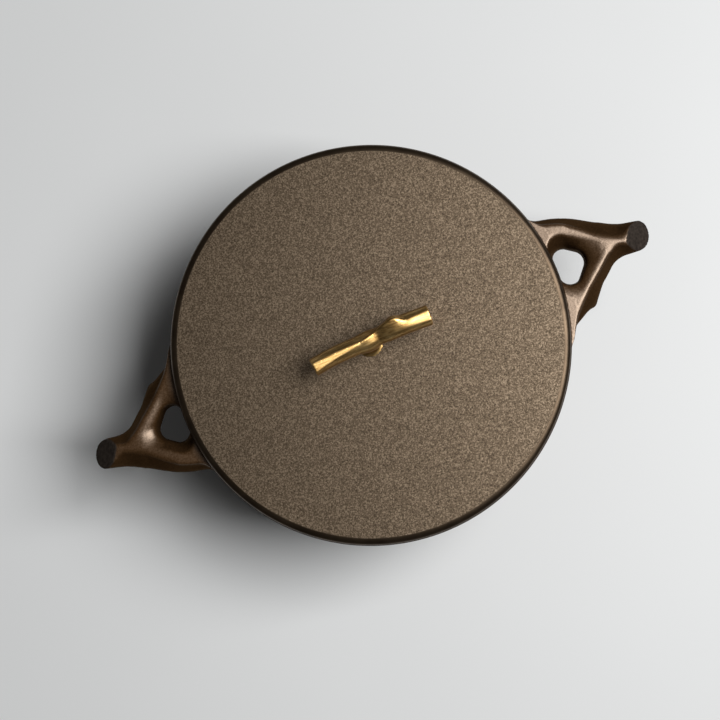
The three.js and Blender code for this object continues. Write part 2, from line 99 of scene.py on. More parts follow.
# The web between the limbs has a pocket that narrows from its mouth, at the top, to its neck.
# Both are rounded triangles, given by the reach and along of their corners. Each corner has its own flare,
# and the greater it is, the sooner that corner draws in. The slope is about how much the pocket narrows
# at its mouth for each millimetre of depth. The web reaches a narrow land beyond the mouth.
POCKET_MOUTH = np.array([[6.6, 10.4], [21.2, 1.6], [5.2, -12.6]])
POCKET_NECK = np.array([[6.9, 3.4], [11.4, 0.1], [6.7, -5.4]])
MOUTH_ROUND = 7.4
NECK_ROUND = 6.5
POCKET_DEPTH = 11.0
POCKET_FLARE = np.array([2, 5, 8])
POCKET_SLOPE = 4.5
WEB_LAND = 1.0
WEB_DEPTH = 17.0

# The sawn end of the branch faces outward, turned a little along the rim and tilted up.
CUT_TURN = math.radians(-25)
CUT_TILT = math.radians(50)

# Fillets and rounded edges
CUT_EDGE_ROUND = 0.6
LEDGE_EDGE_ROUND = 1.5
POCKET_EDGE_ROUND = 0.5
FORK_BLEND = 6.0
WEB_BLEND = 2.0
FAN_BLEND = 3.0
KNOT_BLEND = 5.0
ROOT_BLEND = 6.5

# The handle's skin on the wall is sunk this far into it, so that the two don't lie in one face.
ROOT_SINK = 0.05

# Twig knots: across the lid, aside, rise from the lid's top, radius, and the ridge's shift, lift
# and radius. The bud is a ball in the same terms, and the foot is the top of a ball sunk into the lid.
TWIG = np.array([
    [-33.8, -2.0, 22.1, 5.2, -0.4, 2.0, 4.3],
    [-20.0, -0.3, 21.4, 5.2, -0.3, 2.6, 3.2],
    [-3.0, 0.3, 19.9, 5.1, 0.6, 4.5, 1.4],
    [6.5, 0.7, 19.4, 5.0, 2.4, 4.7, 1.3],
    [12.0, 1.0, 20.3, 5.6, 3.6, 6.0, 1.3],
    [17.0, 1.3, 21.0, 6.0, 4.2, 5.6, 1.8],
    [23.0, 1.2, 21.5, 5.8, 0.8, 2.7, 3.2],
    [37.3, 0.7, 20.5, 5.9, 0.3, 2.1, 3.8],
])
BUD = np.array([16.5, 4.4, 22.6, 3.4])
BUD_BLEND = 3.0
TWIG_EDGE_ROUND = 0.8
STEM_RADIUS = 4.6
STEM_TOP = 17.5
FOOT_RADIUS = 20.0
FOOT_SINK = 18.2
FOOT_BLEND = 3.0
STEM_BLEND = 5.0

# Flats whittled into the twig's top: where each starts and ends across the lid, its rise at the start
# and at the end, and how much it leans aside
FLATS = np.array([
    [-40.0, -4.0, 28.25, 25.8, 0.16],
    [20.0, 44.0, 27.7, 25.1, 0.12],
])
FLAT_ROUND = 0.6

# Fineness of turned forms, limbs and skins
ROUND_SEGMENTS = 256
CORNER_STEPS = 14
EDGE_STEPS = 5
LIMB_STEPS = 14
HANDLE_STEP = 0.8
TWIG_STEP = 0.5
BLOCK = 4
CELL_ROOM = 0.9
SETTLE_ROUNDS = 2
SLOPE_PROBE = 0.01
JUST_INSIDE = -0.01
SMOOTH_ANGLE = math.radians(40)

# Wear and painted light on the handles: the tops get a lighter, glossier colour, partly real wear and
# partly painted light on the up-facing surfaces. It shows this deep below the ledge and up to this
# steepness. On the pocket's outer side it reaches deeper, as a painted highlight; the span is where along
# the rim that starts and where it is full.
WEAR_AND_LIGHT_DEPTH = 1.2
WEAR_AND_LIGHT_STEEPEST = math.radians(66)
WEAR_AND_LIGHT_FULLY = math.radians(37)
POCKET_HIGHLIGHT_DEPTH = 9.0
POCKET_HIGHLIGHT_SPAN = (9.0, 3.0)

# How far behind the sawn end its look fades out
CUT_MARGIN = 0.2

# Camera, read off the photograph: the rim's centre and radius in its pixels, the turn of the handles' line,
# and how far the camera stands to the right of and below the plumb line.
IMAGE_SIZE = 720
RIM_PIXEL = (370.1, 344.25)
RIM_PIXEL_RADIUS = 201.1
HANDLE_TURN = math.radians(22.3)
CAMERA_RISE = 1000.0
CAMERA_RIGHT = math.radians(2.7)
CAMERA_DOWN = math.radians(2.7)

# Studio: a large soft lamp, by its place to the right, up the picture and above the table
LAMP_PLACE = (1075.0, 240.0, 1890.0)
LAMP_SIZE = 1220.0
LAMP_WATTS = 49.0
FLOOR_REACH = 4000.0

# Colours, as linear red, green and blue, from the low end of a noise to its high end
NOISE_LOW = 0.3
NOISE_HIGH = 0.7
PATINA = [(0.02, 0.01, 0.004), (0.05, 0.026, 0.011)]
# The worn colour of the handle tops is lighter than the patina: partly real wear, partly painted light.
WORN_AND_LIT = [(0.052, 0.022, 0.004), (0.094, 0.041, 0.009)]
SAWN = [(0.024, 0.019, 0.016), (0.05, 0.04, 0.033)]
SEASONED = [(0.012, 0.011, 0.01), (0.03, 0.027, 0.024)]
SAND = [(0.04, 0.027, 0.016), (0.13, 0.094, 0.061), (0.31, 0.235, 0.162)]
SMOOTH_EDGE = [(0.045, 0.03, 0.018), (0.078, 0.054, 0.033)]
BRASS = [(0.48, 0.25, 0.06), (0.78, 0.47, 0.15), (0.92, 0.63, 0.25)]
STEEL = [(0.42, 0.42, 0.41), (0.62, 0.62, 0.6)]
FLOOR = [(0.79, 0.80, 0.80), (0.82, 0.83, 0.83)]
GLOSS_TINT = (1, 0.81, 0.65, 1)

# The sky's colours, from the horizon up
SKY = [(0.025, 0.025, 0.025), (0.05, 0.05, 0.05)]

# Noise scales, per metre
CAST_GRAIN = 1100
CAST_CLOUD = 45
SAWN_GRAIN = 600
SAND_GRAIN = 1250
EDGE_CLOUD = 90
BRASS_STREAK = 900
BRASS_CLOUD = 120
STEEL_LINES = 1500
FLOOR_CLOUD = 3

# Gloss and roughness, one value or from the low end of a noise to its high end
WORN_GLOSS = (0.25, 0.48)
POT_ROUGHNESS = (0.32, 0.42)
SAWN_ROUGHNESS = 0.75
SAND_ROUGHNESS = (0.55, 0.45)
SMOOTH_EDGE_ROUGHNESS = 0.32
BRASS_ROUGHNESS = (0.32, 0.4)
STEEL_ROUGHNESS = (0.25, 0.38)

# How much of the patina follows the grain, the rest following the clouds; how patchy the wear is;
# and how much the clouds lighten or darken the brass
GRAIN_SHARE = 0.65
PATCHES = (0.6, 1)
BRASS_CLOUDING = 0.08


def smooth_min(a, b, blend):
    """The nearer of two distances, with a fillet of about the blend's size between the two forms."""
    share = np.maximum(blend - np.abs(a - b), 0) / blend
    return np.minimum(a, b) - share * share * blend / 4


def smooth_max(a, b, blend):
    """The farther of two distances, which keeps what both forms share, with the edge rounded."""
    return -smooth_min(-a, -b, blend)


def ball(p, place):
    """Distance to a ball given as x, y, z, radius."""
    return np.sqrt(((p - place[:3]) ** 2).sum(axis=1)) - place[3]


def limb(p, a, b):
    """Distance to a tapered limb between two balls, each given as x, y, z, radius."""
    axis = b[:3] - a[:3]
    length = math.sqrt(axis @ axis)
    ball_a, ball_b = ball(p, a), ball(p, b)
    if length <= abs(a[3] - b[3]):
        return np.minimum(ball_a, ball_b)
    from_a = p - a[:3]
    along = from_a @ axis / length
    aside = np.sqrt(np.maximum((from_a**2).sum(axis=1) - along**2, 0))
    slope = (a[3] - b[3]) / length
    level = math.sqrt(1 - slope**2)
    across = along * level - aside * slope
    side = aside * level + along * slope - a[3]
    return np.where(across < 0, ball_a, np.where(across > level * length, ball_b, side))


def limbs(p, pairs):
    """Distance to the nearest of the limbs that join pairs of balls."""
    least = np.full(len(p), np.inf)
    for a, b in pairs:
        least = np.minimum(least, limb(p, a, b))
    return least


def chain(balls):
    """Pairs of each ball with the next."""
    return list(zip(balls[:-1], balls[1:]))


def balls_through(knots):
    """Balls along a smooth curve through knots, which are given as x, y, z, radius."""
    places = knots[:, :3]
    first = 2 * places[0] - places[1]
    last = 2 * places[-1] - places[-2]
    padded = np.vstack([first, places, last])
    balls = []
    for i in range(len(knots) - 1):
        p0, p1, p2, p3 = padded[i : i + 4]
        gap = [np.linalg.norm(b - a) ** 0.5 for a, b in ((p0, p1), (p1, p2), (p2, p3))]
        t1 = ((p1 - p0) / gap[0] - (p2 - p0) / (gap[0] + gap[1]) + (p2 - p1) / gap[1]) * gap[1]
        t2 = ((p2 - p1) / gap[1] - (p3 - p1) / (gap[1] + gap[2]) + (p3 - p2) / gap[2]) * gap[1]
        for step in range(LIMB_STEPS):
            t = step / LIMB_STEPS
            place = (
                p1
                + t1 * t
                + (3 * (p2 - p1) - 2 * t1 - t2) * t**2
                + (2 * (p1 - p2) + t1 + t2) * t**3
            )
            balls.append([*place, knots[i, 3] + (knots[i + 1, 3] - knots[i, 3]) * t])
    balls.append(list(knots[-1, :4]))
    return np.array(balls)


def settle(field, points):
    """Moves points onto the surface where the field is zero."""
    for _ in range(SETTLE_ROUNDS):
        value = field(points)
        slope = np.empty_like(points)
        for axis in range(3):
            ahead = points.copy()
            ahead[:, axis] += SLOPE_PROBE
            slope[:, axis] = (field(ahead) - value) / SLOPE_PROBE
        points = points - slope * (value / (slope**2).sum(axis=1))[:, None]
    return points


def window(array, offset):
    """A grid array shorter by one on each axis, starting at an offset of 0 or 1."""
    return array[tuple(slice(o, n - 1 + o) for o, n in zip(offset, array.shape))]


def unpinch(values):
    """Fills grid squares whose corners are in and out by turns, where the surface would pinch."""
    pinched = True
    while pinched:
        pinched = False
        for axis in range(3):
            steps = [np.eye(3, dtype=int)[(axis + 1) % 3], np.eye(3, dtype=int)[(axis + 2) % 3]]
            offsets = [np.zeros(3, dtype=int), steps[0], steps[0] + steps[1], steps[1]]
            a, b, c, d = (window(values, o) < 0 for o in offsets)
            for spot in np.argwhere((a == c) & (b == d) & (a != b)):
                corners = [tuple(spot + o) for o in offsets]
                outside = [corner for corner in corners if values[corner] >= 0]
                if len(outside) == 2:
                    values[min(outside, key=lambda corner: values[corner])] = JUST_INSIDE
                    pinched = True


def skin(field, low, high, step):
    """The closed surface where a field is zero, as points and quads, a point in each crossed grid cell."""
    counts = np.ceil((high - low) / step).astype(int) + 1
    blocks = -(-counts // BLOCK)
    block_places = BLOCK * np.argwhere(np.ones(blocks)) + (BLOCK - 1) / 2
    values = field(low + step * block_places).reshape(blocks)
    for axis in range(3):
        values = values.repeat(BLOCK, axis)
    values = values[: counts[0], : counts[1], : counts[2]]
    near = np.abs(values) < BLOCK * step
    values[near] = field(low + step * np.argwhere(near))
    unpinch(values)

    cell_shape = tuple(counts - 1)
    sums = np.zeros(cell_shape + (3,))
    hits = np.zeros(cell_shape)
    for axis in range(3):
        side, other = (axis + 1) % 3, (axis + 2) % 3
        for corner in range(4):
            start = [0, 0, 0]
            start[side], start[other] = corner & 1, corner >> 1
            end = list(start)
            end[axis] = 1
            v0, v1 = window(values, start), window(values, end)
            crossed = (v0 < 0) != (v1 < 0)
            part = np.where(crossed, v0 / np.where(crossed, v0 - v1, 1), 0)
            for k in range(3):
                sums[..., k] += np.where(crossed, start[k], 0) + (part if k == axis else 0)
            hits += crossed
    cells = np.argwhere(hits > 0)
    number = np.full(cell_shape, -1)
    number[hits > 0] = np.arange(len(cells))
    local = sums[hits > 0] / hits[hits > 0][:, None]
    points = settle(field, low + step * (cells + local))
    middle = low + step * (cells + 0.5)
    points = np.clip(points, middle - CELL_ROOM * step / 2, middle + CELL_ROOM * step / 2)

    inside = values < 0
    steps = np.eye(3, dtype=int)
    quads = []
    for axis in range(3):
        side, other = steps[(axis + 1) % 3], steps[(axis + 2) % 3]
        nodes = np.argwhere(window(inside, (0, 0, 0)) != window(inside, steps[axis]))
        nodes = nodes[(nodes @ side > 0) & (nodes @ other > 0)]
        corners = [nodes, nodes - side, nodes - side - other, nodes - other]
        faces = np.stack([number[tuple(corner.T)] for corner in corners], axis=1)
        turned = ~inside[tuple(nodes.T)]
        faces[turned] = faces[turned, ::-1]
        quads.append(faces)
    return points, np.vstack(quads)


def mesh_object(name, points, faces):
    """An object from points in millimetres."""
    mesh = bpy.data.meshes.new(name)
    mesh.from_pydata((np.asarray(points) * MM).tolist(), [], [list(map(int, face)) for face in faces])
    mesh.validate()
    obj = bpy.data.objects.new(name, mesh)
    bpy.context.scene.collection.objects.link(obj)
    return obj


def arc(radius, height, size, start, end, steps):
    """Points of an arc in a profile, from one angle to another."""
    turns = np.linspace(start, end, steps + 1)
    return [(radius + size * math.cos(t), height + size * math.sin(t)) for t in turns]


def revolve(name, profile, segments):
    """Turns a profile of radius and height round the Z axis. It ends on the axis, or is a closed ring."""
    ring = profile[0][0] > 0
    rows = []
    points = []
    for radius, height in profile:
        if radius == 0:
            rows.append([len(points)] * segments)
            points.append((0, 0, height))
            continue
        rows.append(range(len(points), len(points) + segments))
        for i in range(segments):
            turn = 2 * math.pi * i / segments
            points.append((radius * math.cos(turn), radius * math.sin(turn), height))
    faces = []
    pairs = list(zip(rows[:-1], rows[1:])) + ([(rows[-1], rows[0])] if ring else [])
    for low, high in pairs:
        for i in range(segments):
            j = (i + 1) % segments
            # On the axis two corners are one point, which is kept once.
            faces.append(list(dict.fromkeys([low[i], low[j], high[j], high[i]])))
    return mesh_object(name, points, faces)


def combine(obj, other, operation):
    """Joins another closed object to this one or cuts it away, and removes the other."""
    modifier = obj.modifiers.new(operation, "BOOLEAN")
    modifier.operation = operation
    modifier.object = other
    modifier.solver = "MANIFOLD"
    depsgraph = bpy.context.evaluated_depsgraph_get()
    mesh = bpy.data.meshes.new_from_object(obj.evaluated_get(depsgraph))
    obj.modifiers.clear()
    old = obj.data
    obj.data = mesh
    mesh.name = obj.name
    mesh.materials.clear()
    bpy.data.meshes.remove(old)
    bpy.data.meshes.remove(other.data)


def smooth(obj):
    """Shades an object smooth, apart from its sharp edges."""
    obj.data.shade_smooth()
    obj.data.set_sharp_from_angle(angle=SMOOTH_ANGLE)


# The outside of the wall leans out in a straight line, and meets the rim where its rounded edge starts.
RIM_EDGE = POT_HEIGHT - RIM_ROUND
WALL_OFFSET = RIM_RADIUS * math.cos(WALL_LEAN) - RIM_EDGE * math.sin(WALL_LEAN)


def wall_radius(height, inset):
    """Radius of the leaning wall line at a height, inset from the pot's outside."""
    return (WALL_OFFSET - inset + height * math.sin(WALL_LEAN)) / math.cos(WALL_LEAN)


MOUTH_RADIUS = wall_radius(RIM_EDGE, WALL)


def ridge_balls(knots):
    """The balls of the ridge on a limb, from the limb's knots."""
    return np.column_stack([knots[:, 0], knots[:, 1:3] + knots[:, 4:6], knots[:, 6]])


def ridged_limb(middle_knots, ridge_knots):
    """Pairs of balls for a limb with a ridge on it."""
    middle = balls_through(middle_knots)
    ridge = balls_through(ridge_knots)
    return chain(middle) + chain(ridge) + list(zip(middle, ridge))


def at_rim(knots):
    """Knots given from the rim's top, in the pot's own place."""
    placed = knots.copy()
    placed[:, [0, 2]] += (RIM_RADIUS, POT_HEIGHT)
    return placed


def root_fan(start, span):
    """Small roots from a ball of the ridge to the wall just below the rim, side by side."""
    height = POT_HEIGHT - LEDGE_BELOW_RIM - FAN_RADIUS + FAN_PROUD
    along = np.linspace(*span, FAN_ROOTS)
    out = np.sqrt((RIM_RADIUS - FAN_BITE) ** 2 - along**2)
    return [(start, np.array([x, y, height, FAN_RADIUS])) for x, y in zip(out, along)]


# The limbs of one handle, as pairs of balls. The stub is the part beyond the last knot, which is sawn off.
MAIN_KNOTS, SIDE_KNOTS = at_rim(MAIN_BRANCH), at_rim(SIDE_BRANCH)
MAIN_LIMB = ridged_limb(MAIN_KNOTS, ridge_balls(MAIN_KNOTS))
SIDE_LIMB = ridged_limb(SIDE_KNOTS, ridge_balls(SIDE_KNOTS))
KNOT_LIMB = chain(at_rim(KNOT))
FANS = root_fan(ridge_balls(MAIN_KNOTS)[1], MAIN_FAN) + root_fan(ridge_balls(SIDE_KNOTS)[1], SIDE_FAN)
CUT_NORMAL = np.array([
    math.cos(CUT_TILT) * math.cos(CUT_TURN),
    math.cos(CUT_TILT) * math.sin(CUT_TURN),
    math.sin(CUT_TILT),
])
CUT_BALL = MAIN_KNOTS[-1, :4]
STUB = [(CUT_BALL, CUT_BALL + np.append(CUT_NORMAL * CUT_BALL[3], 0))]


def above_ledge(p):
    """Height above the surface that tops the handle, a ledge that slopes down from the rim."""
    beyond = np.maximum(np.hypot(p[:, 0], p[:, 1]) - RIM_RADIUS, 0)
    return p[:, 2] - POT_HEIGHT + LEDGE_BELOW_RIM + beyond * math.tan(LEDGE_SLOPE)


def triangle(places, corners):
    """Distance in plan to a triangle, whose corners may differ from place to place."""
    least = np.full(len(places), np.inf)
    inside = np.full(len(places), True)
    for a, b in zip(corners, np.roll(corners, -1, axis=0)):
        edge = b - a
        offset = places - a
        share = np.clip((offset * edge).sum(axis=1) / (edge * edge).sum(axis=-1), 0, 1)
        least = np.minimum(least, ((offset - edge * share[:, None]) ** 2).sum(axis=1))
        inside &= edge[..., 0] * offset[:, 1] < edge[..., 1] * offset[:, 0]
    return np.where(inside, -1, 1) * np.sqrt(least)


def handle_field(p):
    """Distance to one side handle with its roots, running into the pot wall."""
    ledge = above_ledge(p)
    plan = p[:, :2] - (RIM_RADIUS, 0)
    fork = smooth_min(limbs(p, MAIN_LIMB + STUB), limbs(p, SIDE_LIMB), FORK_BLEND)
    form = smooth_min(fork, limbs(p, KNOT_LIMB), KNOT_BLEND)
    form = smooth_min(form, limbs(p, FANS), FAN_BLEND)
    web = triangle(plan, POCKET_MOUTH) - MOUTH_ROUND - WEB_LAND
    form = smooth_min(form, np.maximum(web, -WEB_DEPTH - ledge), WEB_BLEND)
    form = smooth_max(form, ledge, LEDGE_EDGE_ROUND)
    form = smooth_max(form, (p - CUT_BALL[:3]) @ CUT_NORMAL, CUT_EDGE_ROUND)
    radius = np.hypot(p[:, 0], p[:, 1])
    wall = (radius - wall_radius(p[:, 2], 0)) * math.cos(WALL_LEAN)
    wall = np.maximum(wall, p[:, 2] - POT_HEIGHT + LEDGE_BELOW_RIM)
    form = np.maximum(smooth_min(form, wall + ROOT_SINK, ROOT_BLEND), form - ROOT_BLEND)
    opened = np.clip(1 + ledge / POCKET_DEPTH, 0, 1) ** POCKET_FLARE[:, None]
    corners = POCKET_NECK[:, None] + (POCKET_MOUTH - POCKET_NECK)[:, None] * opened[..., None]
    rounding = NECK_ROUND + (MOUTH_ROUND - NECK_ROUND) * opened.mean(axis=0)
    pocket = (triangle(plan, corners) - rounding) / POCKET_SLOPE
    return np.maximum(smooth_max(form, -pocket, POCKET_EDGE_ROUND), ledge)


def side_handle():
    """The skin of one side handle, as points and quads."""
    balls = np.array(MAIN_LIMB + SIDE_LIMB + KNOT_LIMB + FANS).reshape(-1, 4)
    room = balls[:, 3:] + ROOT_BLEND + HANDLE_STEP
    low = (balls[:, :3] - room).min(axis=0)
    high = (balls[:, :3] + room).max(axis=0)
    return skin(handle_field, low, high, HANDLE_STEP)


def pot_body():
    """The pot with its two handles, the second being the first turned half way round."""
    corner = wall_radius(OUTER_CORNER, OUTER_CORNER)
    outside = [(0, 0)]
    outside += arc(corner, OUTER_CORNER, OUTER_CORNER, -math.pi / 2, -WALL_LEAN, CORNER_STEPS)
    outside += arc(RIM_RADIUS - RIM_ROUND, RIM_EDGE, RIM_ROUND, -WALL_LEAN, math.pi / 2, EDGE_STEPS)
    outside += [(0, POT_HEIGHT)]
    pot = revolve("pot_body_cast", outside, ROUND_SEGMENTS)
    points, quads = side_handle()
    combine(pot, mesh_object("handle_right", points, quads), "UNION")
    combine(pot, mesh_object("handle_left", points * (-1, -1, 1), quads), "UNION")

    floor = BASE_THICKNESS + INNER_CORNER
    corner = wall_radius(floor, WALL + INNER_CORNER)
    mouth = MOUTH_RADIUS + RIM_ROUND
    inside = [(0, BASE_THICKNESS)]
    inside += arc(corner, floor, INNER_CORNER, -math.pi / 2, -WALL_LEAN, CORNER_STEPS)
    inside += arc(mouth, RIM_EDGE, RIM_ROUND, math.pi - WALL_LEAN, math.pi / 2, EDGE_STEPS)
    inside += [(mouth, POT_HEIGHT + RIM_ROUND), (0, POT_HEIGHT + RIM_ROUND)]
    combine(pot, revolve("cavity", inside, ROUND_SEGMENTS), "DIFFERENCE")
    smooth(pot)
    paint_pot(pot.data)
    return pot


def mesh_points(mesh):
    """The places of a mesh's points in millimetres."""
    points = np.empty(3 * len(mesh.vertices))
    mesh.vertices.foreach_get("co", points)
    return points.reshape(-1, 3) / MM


def store(mesh, name, values):
    """Keeps one number for each point of a mesh, for its material to read."""
    layer = mesh.attributes.new(name, "FLOAT", "POINT")
    layer.data.foreach_set("value", np.asarray(values, dtype=np.float32))


def fade(value, start, end):
    """A share that grows straight from 0 at the start to 1 at the end."""
    return np.clip((value - start) / (end - start), 0, 1)


def paint_pot(mesh):
    """Marks the handles' tops for wear and painted light, where the pot is sawn, and where it is seasoned.
    """
    points = mesh_points(mesh)
    radius = np.hypot(points[:, 0], points[:, 1])
    turned = points * np.where(points[:, :1] < 0, (-1, -1, 1), 1)
    normals = np.empty(3 * len(mesh.vertices))
    mesh.vertices.foreach_get("normal", normals)
    # Only surfaces that face up get the lighter worn colour, which paints light onto the tops as well as
    # showing wear.
    facing_up = fade(normals[2::3], math.cos(WEAR_AND_LIGHT_STEEPEST), math.cos(WEAR_AND_LIGHT_FULLY))
    in_pocket = triangle(turned[:, :2] - (RIM_RADIUS, 0), POCKET_MOUTH) < MOUTH_ROUND
    # On the pocket's outer side the lighter worn colour and the gloss reach deeper, which paints a
    # highlight there.
    outer_side = fade(turned[:, 1], *POCKET_HIGHLIGHT_SPAN)
    depth = WEAR_AND_LIGHT_DEPTH + in_pocket * outer_side * (POCKET_HIGHLIGHT_DEPTH - WEAR_AND_LIGHT_DEPTH)
    on_top = fade(above_ledge(points), -depth, 0)
    store(mesh, "wear_and_lit_tops", np.where(radius > RIM_RADIUS, on_top * facing_up, 0))
    beyond_cut = (turned - CUT_BALL[:3]) @ CUT_NORMAL
    store(mesh, "sawn", fade(beyond_cut, -2 * CUT_MARGIN, -CUT_MARGIN))
    within_wall = radius < wall_radius(points[:, 2], WALL / 2)
    store(mesh, "inside", within_wall & (points[:, 2] > BASE_THICKNESS / 2))


def lid_plate():
    """The lid, with its elliptical shoulder, its locating lip underneath and its screw hole."""
    lid_radius = RIM_RADIUS - LID_INSET
    lip_outer = MOUTH_RADIUS - LIP_PLAY
    lip_inner = lip_outer - LIP_WIDTH
    top = POT_HEIGHT + LID_THICKNESS
    lip = POT_HEIGHT - LIP_DEPTH + LIP_ROUND
    profile = [(LID_HOLE, POT_HEIGHT), (lip_inner, POT_HEIGHT)]
    profile += arc(lip_inner + LIP_ROUND, lip, LIP_ROUND, math.pi, 1.5 * math.pi, EDGE_STEPS)
    profile += arc(lip_outer - LIP_ROUND, lip, LIP_ROUND, 1.5 * math.pi, 2 * math.pi, EDGE_STEPS)
    profile += [(lip_outer, POT_HEIGHT)]
    under = lid_radius - LID_UNDER_ROUND
    profile += arc(under, POT_HEIGHT + LID_UNDER_ROUND, LID_UNDER_ROUND, -math.pi / 2, 0, EDGE_STEPS)
    edge = lid_radius - LID_SHOULDER
    for x, y in arc(0, 0, 1, 0, math.pi / 2, CORNER_STEPS):
        profile.append((edge + LID_SHOULDER * x, top + LID_EDGE_ROUND * (y - 1)))
    profile += [(LID_HOLE, top)]
    lid = revolve("lid_cast", profile, ROUND_SEGMENTS)
    smooth(lid)
    points = mesh_points(lid.data)
    radius = np.hypot(points[:, 0], points[:, 1])
    store(lid.data, "edge", radius > edge + LID_SHOULDER / CORNER_STEPS)
    return lid


def twig_handle():
    """A brass twig with a winding ridge and a bud at its knuckle, on a stem with a flared foot."""
    base = POT_HEIGHT + LID_THICKNESS
    knots = TWIG.copy()
    knots[:, 2] += base
    middle, ridge = knots[:, :4], ridge_balls(knots)
    bar = ridged_limb(middle, ridge)
    ends = []
    for end, before in ((0, 1), (-1, -2)):
        direction = middle[end, :3] - middle[before, :3]
        direction /= np.linalg.norm(direction)
        beyond = np.append(2 * middle[end, 3] * direction, 0)
        middle_end = np.array([middle[end], middle[end] + beyond])
        ridge_end = np.array([ridge[end], ridge[end] + beyond])
        bar += ridged_limb(middle_end, ridge_end)
        ends.append((middle[end, :3], direction))
    bud = BUD + (0, 0, base, 0)
    foot = np.array([0, 0, base - FOOT_SINK, FOOT_RADIUS])
    stem_bottom = np.array([0, 0, base, STEM_RADIUS])
    stem_top = np.array([0, 0, base + STEM_TOP, STEM_RADIUS])
    stem = chain([stem_bottom, stem_top])

    def field(p):
        form = smooth_min(limbs(p, bar), ball(p, bud), BUD_BLEND)
        footed = smooth_min(limbs(p, stem), ball(p, foot), FOOT_BLEND)
        form = smooth_min(form, footed, STEM_BLEND)
        for start, stop, rise, fall, lean in FLATS:
            share = (p[:, 0] - start) / (stop - start)
            over = p[:, 2] - base - rise - (fall - rise) * share - lean * p[:, 1]
            within = (stop - start) / 2 - np.abs(p[:, 0] - (start + stop) / 2)
            form = smooth_max(form, np.minimum(over, within), FLAT_ROUND)
        for end, direction in ends:
            form = smooth_max(form, (p - end) @ direction, TWIG_EDGE_ROUND)
        return np.maximum(form, base - p[:, 2])

    balls = np.vstack([middle, ridge, bud, foot])
    room = balls[:, 3:] + STEM_BLEND
    low = (balls[:, :3] - room).min(axis=0)
    high = (balls[:, :3] + room).max(axis=0)
    points, quads = skin(field, low, high, TWIG_STEP)
    twig = mesh_object("lid_handle_twig", points, quads)
    smooth(twig)
    return twig


def material(name):
    """A new node material, as its material, node tree and shader node."""
    made = bpy.data.materials.new(name)
    made.use_nodes = True
    return made, made.node_tree, made.node_tree.nodes["Principled BSDF"]


def add(tree, kind, inputs, **settings):
    """A new shader node with its settings and its inputs, which are sockets or values."""
    node = tree.nodes.new("ShaderNode" + kind)
    for name, value in settings.items():
        setattr(node, name, value)
    feed(tree, node, inputs)
    return node


def feed(tree, node, inputs):
    """Links each input of a node to a socket, or sets it to a value."""
    for name, value in inputs.items():
        if isinstance(value, bpy.types.NodeSocket):
            tree.links.new(value, node.inputs[name])
        else:
            node.inputs[name].default_value = value


def object_place(tree, stretch=(1, 1, 1)):
    """The place on the object in metres, stretched along its axes."""
    place = add(tree, "TexCoord", {}).outputs["Object"]
    return add(tree, "Mapping", {"Vector": place, "Scale": stretch}).outputs[0]


def noise(tree, place, scale, detail, roughness=0.5):
    """A noise between 0 and 1, mostly near the middle."""
    inputs = {"Vector": place, "Scale": scale, "Detail": detail, "Roughness": roughness}
    return add(tree, "TexNoise", inputs).outputs["Fac"]


def spread(tree, value, to_low, to_high, low=NOISE_LOW, high=NOISE_HIGH):
    """Takes the range from low to high to another range, and keeps what is beyond at its ends."""
    inputs = {"Value": value, "From Min": low, "From Max": high, "To Min": to_low, "To Max": to_high}
    return add(tree, "MapRange", inputs).outputs[0]


def ramp(tree, value, colors, low=NOISE_LOW, high=NOISE_HIGH):
    """A colour for each value, from two or three colours set evenly from low to high."""
    node = add(tree, "ValToRGB", {"Fac": value})
    elements = node.color_ramp.elements
    if len(colors) == 3:
        elements.new(0.5)
    for element, place, color in zip(elements, np.linspace(low, high, len(colors)), colors):
        element.position = place
        element.color = (*color, 1)
    return node.outputs[0]


def blend_color(tree, share, a, b):
    """A mix of two colours, b having the share."""
    return add(tree, "Mix", {0: share, 6: a, 7: b}, data_type="RGBA").outputs[2]


def blend_value(tree, share, a, b):
    """A mix of two values, b having the share."""
    return add(tree, "Mix", {0: share, 2: a, 3: b}).outputs[0]


def calculate(tree, operation, a, b):
    """The result of a sum or a product of two values."""
    return add(tree, "Math", {0: a, 1: b}, operation=operation).outputs[0]


def bump(tree, height, strength, depth):
    """A normal that follows a height, the depth being in millimetres."""
    inputs = {"Height": height, "Strength": strength, "Distance": depth * MM}
    return add(tree, "Bump", inputs).outputs[0]


def stored(tree, name):
    """The number kept under a name for each point of the mesh."""
    return add(tree, "Attribute", {}, attribute_name=name).outputs["Fac"]


def pot_iron():
    """Dark brown casting, with lighter, glossy handle tops that are partly wear and partly painted light,
    sawn ends and a seasoned inside.
    """
    made, tree, shader = material("pot_iron")
    place = object_place(tree)
    grain = noise(tree, place, CAST_GRAIN, detail=3)
    cloud = noise(tree, place, CAST_CLOUD, detail=4, roughness=0.6)
    patches = spread(tree, cloud, *PATCHES, low=0.25, high=0.65)
    wear_and_lit_tops = calculate(tree, "MULTIPLY", stored(tree, "wear_and_lit_tops"), patches)
    patina = ramp(tree, blend_value(tree, GRAIN_SHARE, cloud, grain), PATINA)
    # The lighter worn colour on the handle tops is partly painted light.
    outside = blend_color(tree, wear_and_lit_tops, patina, ramp(tree, grain, WORN_AND_LIT))

    cut = stored(tree, "sawn")
    sawn = ramp(tree, noise(tree, place, SAWN_GRAIN, detail=4), SAWN)
    outside = blend_color(tree, cut, outside, sawn)
    seasoned = ramp(tree, cloud, SEASONED)

    gloss = calculate(tree, "MULTIPLY", wear_and_lit_tops, spread(tree, grain, *WORN_GLOSS))
    polish = spread(tree, grain, *POT_ROUGHNESS, low=0.2, high=0.8)
    feed(tree, shader, {
        "Base Color": blend_color(tree, stored(tree, "inside"), outside, seasoned),
        "Metallic": blend_value(tree, cut, 0.2, 0),
        "IOR": 3.0,
        "Specular IOR Level": blend_value(tree, cut, gloss, 0),
        "Specular Tint": GLOSS_TINT,
        "Roughness": blend_value(tree, cut, polish, SAWN_ROUGHNESS),
        "Normal": bump(tree, grain, strength=0.25, depth=0.15),
    })
    return made


